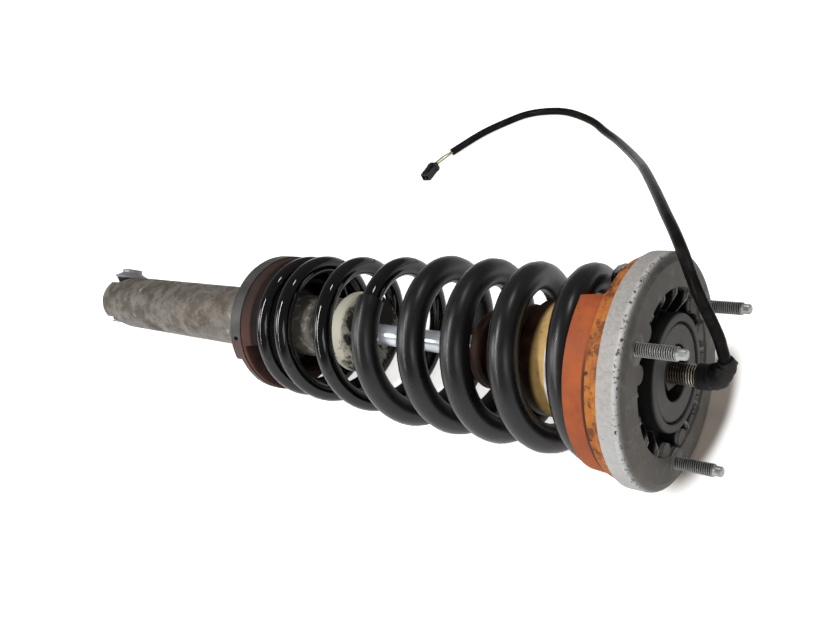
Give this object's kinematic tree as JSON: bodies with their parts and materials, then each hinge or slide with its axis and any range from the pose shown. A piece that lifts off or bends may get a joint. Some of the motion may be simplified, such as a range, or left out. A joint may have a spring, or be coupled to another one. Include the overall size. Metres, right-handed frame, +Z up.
{
  "type": "coilover strut",
  "caption": "Suspension strut: gas damper with hollow rod, coil spring on rubber pads, bump stop, ribbed top mount with studs and a damper control lead.",
  "frame": {"origin": "on the ground under the middle of the strut as it lies, without its lead", "axes": "+X along the strut from the lower bush to the top mount, +Z up; the strut's own axis rises 2.28 degrees towards +X, because it lies on the rims of its spring seat and top mount"},
  "size_m": [0.6664, 0.4535, 0.1403],
  "materials": {
    "tube_alloy": "dull and stained",
    "seat_steel": "worn grey coating",
    "pad_brown": "matte, rust stained",
    "cap_cream": "dirty",
    "spring_black": "gloss black coating",
    "cover_rubber": "satin black",
    "rod_chrome": "polished",
    "bush_steel": "passivated",
    "bush_rubber": "matte",
    "inner_steel": "machined",
    "inner_alloy": "machined",
    "seal_rubber": "matte",
    "slide_plastic": "smooth",
    "stop_plastic": "smooth",
    "foam_yellow": "skinned foam, dark where dirty",
    "band_white": "plain band",
    "cup_black": "matte",
    "pad_orange": "matte, dirty in the grooves",
    "cast_alloy": "as cast, pitted",
    "core_grey": "satin",
    "zinc": "zinc plated",
    "lead_black": "satin",
    "plug_black": "satin",
    "wire_green": "smooth"
  },
  "bodies": {
    "damper": {"damper_tube": "tube_alloy", "spring_seat": "seat_steel", "lower_spring_pad": "pad_brown", "rod_guide": "inner_alloy", "rod_seal": "seal_rubber", "guide_circlip": "inner_steel", "tube_cap": "cap_cream", "bush_ring": "inner_steel", "bush_rubber": "bush_rubber", "coil_spring": "spring_black", "spring_cover": "cover_rubber"},
    "bush": {"bush_sleeve": "bush_steel"},
    "divider": {"dividing_piston": "inner_alloy", "dividing_piston_seal": "seal_rubber"},
    "rod": {"piston_rod": "rod_chrome", "rebound_stop": "stop_plastic", "rebound_shims": "inner_steel", "piston": "inner_steel", "piston_band": "slide_plastic", "compression_shims": "inner_steel", "control_valve": "inner_steel", "valve_lead": "lead_black", "piston_nut": "inner_steel", "bump_stop": "foam_yellow", "bump_stop_band": "band_white", "bump_stop_cup": "cup_black", "upper_spring_pad": "pad_orange", "mount_housing": "cast_alloy", "mount_rubber": "bush_rubber", "mount_core": "core_grey", "mount_studs": "zinc", "rod_washer": "inner_steel", "rod_nut": "inner_steel", "cable_boot": "lead_black", "damper_cable": "lead_black", "cable_wires": "wire_green", "cable_connector": "plug_black"}
  },
  "joints": [
    {"name": "rod_slide", "type": "slide", "parent": "damper", "child": "rod", "axis": [-0.9992, 0, -0.0398], "range_m": [0, 0.108], "stiffness_N_per_m": 32000, "deforming": ["coil_spring", "spring_cover"]},
    {"name": "divider_slide", "type": "slide", "parent": "damper", "child": "divider", "axis": [-0.9992, 0, -0.0398], "range_m": [0, 0.0135]},
    {"name": "bush_twist", "type": "hinge", "parent": "damper", "child": "bush", "pos_m": [-0.3066, 0, 0.04639], "axis": [-0.0245, 0.788, 0.6152], "range_deg": [-15, 15], "stiffness_Nm_per_rad": 0.8}
  ],
  "couplings": [
    {"joint": "divider_slide", "follows": "rod_slide", "ratio": 0.121}
  ]
}
